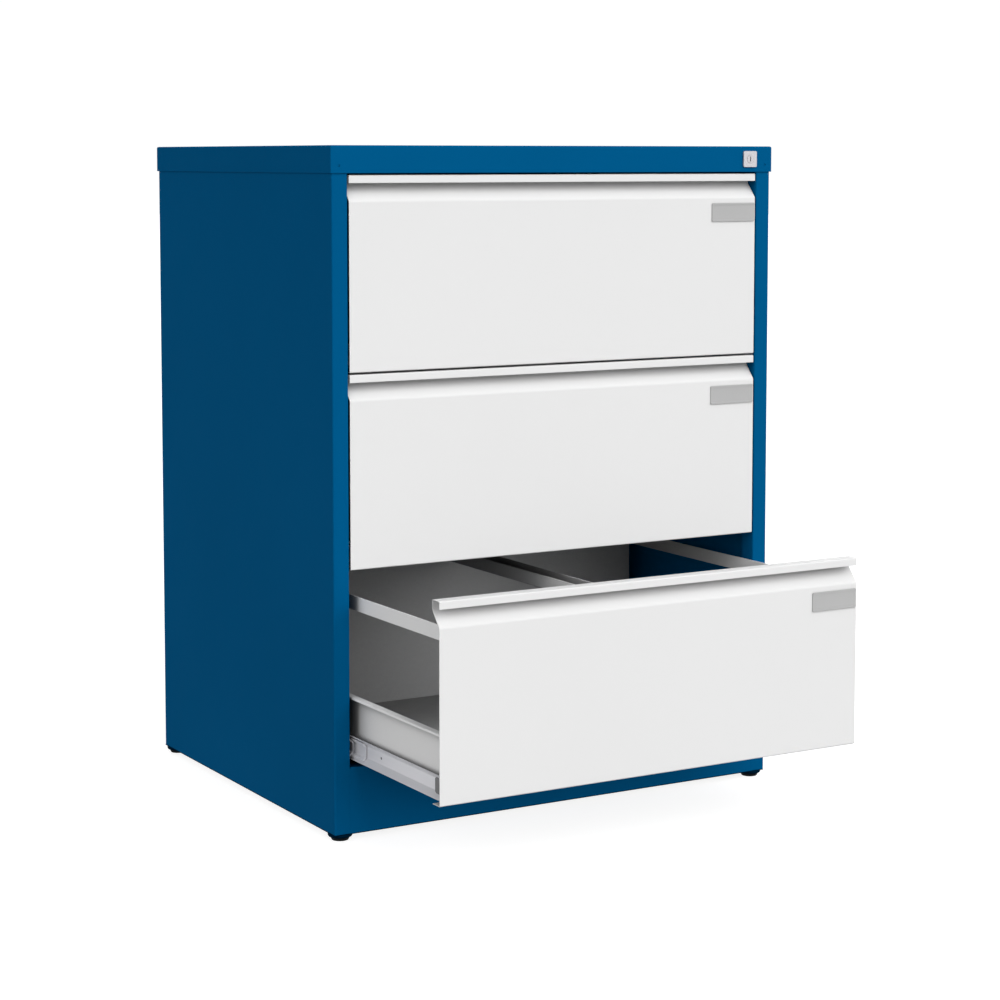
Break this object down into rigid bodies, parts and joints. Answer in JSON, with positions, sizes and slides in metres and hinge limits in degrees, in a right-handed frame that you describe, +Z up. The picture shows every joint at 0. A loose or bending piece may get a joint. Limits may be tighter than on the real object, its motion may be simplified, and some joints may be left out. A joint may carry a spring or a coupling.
{
  "type": "lateral filing cabinet",
  "caption": "Steel lateral filing cabinet in blue with white drawers, full-width folded grips, telescopic runners, rails for suspension files, a central lock and levelling feet.",
  "frame": {"origin": "on the floor, at the middle of the base of the bounding box, with the lower drawer standing out as stored", "axes": "+Z up, +X to the right of someone facing the drawers, +Y to the back; the drawers open towards -Y"},
  "size_m": [0.78, 0.9118, 1.018],
  "materials": {
    "blue_enamel": "semi-matt enamel",
    "white_enamel": "semi-matt enamel",
    "zinc_steel": "zinc plated",
    "nickel_lock": "nickel plated",
    "grey_plastic": "matt",
    "black_plastic": "matt"
  },
  "bodies": {
    "cabinet": {"left_side_panel": "blue_enamel", "right_side_panel": "blue_enamel", "back_panel": "blue_enamel", "plinth": "blue_enamel", "base_plate": "blue_enamel", "left_rear_upright": "blue_enamel", "right_rear_upright": "blue_enamel", "front_top_rail": "blue_enamel", "top_cover": "blue_enamel", "lock_housing": "nickel_lock", "lower_left_cabinet_runner": "zinc_steel", "lower_right_cabinet_runner": "zinc_steel", "middle_left_cabinet_runner": "zinc_steel", "middle_right_cabinet_runner": "zinc_steel", "upper_left_cabinet_runner": "zinc_steel", "upper_right_cabinet_runner": "zinc_steel"},
    "lower_drawer": {"lower_front": "white_enamel", "lower_tray": "white_enamel", "lower_back": "white_enamel", "lower_left_rail": "white_enamel", "lower_right_rail": "white_enamel", "lower_centre_rail": "white_enamel", "lower_label_holder": "grey_plastic", "lower_lock_catch": "zinc_steel", "lower_left_drawer_runner": "zinc_steel", "lower_right_drawer_runner": "zinc_steel"},
    "lower_middle_runners": {"lower_left_middle_runner": "zinc_steel", "lower_right_middle_runner": "zinc_steel"},
    "middle_drawer": {"middle_front": "white_enamel", "middle_tray": "white_enamel", "middle_back": "white_enamel", "middle_left_rail": "white_enamel", "middle_right_rail": "white_enamel", "middle_centre_rail": "white_enamel", "middle_label_holder": "grey_plastic", "middle_lock_catch": "zinc_steel", "middle_left_drawer_runner": "zinc_steel", "middle_right_drawer_runner": "zinc_steel"},
    "middle_middle_runners": {"middle_left_middle_runner": "zinc_steel", "middle_right_middle_runner": "zinc_steel"},
    "upper_drawer": {"upper_front": "white_enamel", "upper_tray": "white_enamel", "upper_back": "white_enamel", "upper_left_rail": "white_enamel", "upper_right_rail": "white_enamel", "upper_centre_rail": "white_enamel", "upper_label_holder": "grey_plastic", "upper_lock_catch": "zinc_steel", "upper_left_drawer_runner": "zinc_steel", "upper_right_drawer_runner": "zinc_steel"},
    "upper_middle_runners": {"upper_left_middle_runner": "zinc_steel", "upper_right_middle_runner": "zinc_steel"},
    "lock_plug": {"lock_plug": "nickel_lock", "lock_cam": "zinc_steel"},
    "lock_bar": {"lock_bar": "zinc_steel"},
    "front_left_foot": {"front_left_foot": "black_plastic"},
    "front_right_foot": {"front_right_foot": "black_plastic"},
    "back_left_foot": {"back_left_foot": "black_plastic"},
    "back_right_foot": {"back_right_foot": "black_plastic"}
  },
  "joints": [
    {"name": "lower_drawer_slide", "type": "slide", "parent": "cabinet", "child": "lower_drawer", "axis": [0, -1, 0], "range_m": [-0.266, 0.294]},
    {"name": "lower_runner_slide", "type": "slide", "parent": "cabinet", "child": "lower_middle_runners", "axis": [0, -1, 0], "range_m": [-0.133, 0.147]},
    {"name": "middle_drawer_slide", "type": "slide", "parent": "cabinet", "child": "middle_drawer", "axis": [0, -1, 0], "range_m": [0, 0.56]},
    {"name": "middle_runner_slide", "type": "slide", "parent": "cabinet", "child": "middle_middle_runners", "axis": [0, -1, 0], "range_m": [0, 0.28]},
    {"name": "upper_drawer_slide", "type": "slide", "parent": "cabinet", "child": "upper_drawer", "axis": [0, -1, 0], "range_m": [0, 0.56]},
    {"name": "upper_runner_slide", "type": "slide", "parent": "cabinet", "child": "upper_middle_runners", "axis": [0, -1, 0], "range_m": [0, 0.28]},
    {"name": "lock_turn", "type": "hinge", "parent": "cabinet", "child": "lock_plug", "pos_m": [0.347, -0.18795, 0.998], "axis": [0, -1, 0], "range_deg": [0, 90]},
    {"name": "lock_bar_lift", "type": "slide", "parent": "cabinet", "child": "lock_bar", "axis": [0, 0, 1], "range_m": [0, 0.01202]},
    {"name": "front_left_foot_adjust", "type": "slide", "parent": "cabinet", "child": "front_left_foot", "axis": [0, 0, -1], "range_m": [0, 0.012]},
    {"name": "front_right_foot_adjust", "type": "slide", "parent": "cabinet", "child": "front_right_foot", "axis": [0, 0, -1], "range_m": [0, 0.012]},
    {"name": "back_left_foot_adjust", "type": "slide", "parent": "cabinet", "child": "back_left_foot", "axis": [0, 0, -1], "range_m": [0, 0.012]},
    {"name": "back_right_foot_adjust", "type": "slide", "parent": "cabinet", "child": "back_right_foot", "axis": [0, 0, -1], "range_m": [0, 0.012]}
  ],
  "couplings": [
    {"joint": "lower_runner_slide", "follows": "lower_drawer_slide", "ratio": 0.5},
    {"joint": "middle_runner_slide", "follows": "middle_drawer_slide", "ratio": 0.5},
    {"joint": "upper_runner_slide", "follows": "upper_drawer_slide", "ratio": 0.5},
    {"joint": "lock_turn", "follows": "lock_bar_lift", "rad_per_m": 130.68}
  ]
}
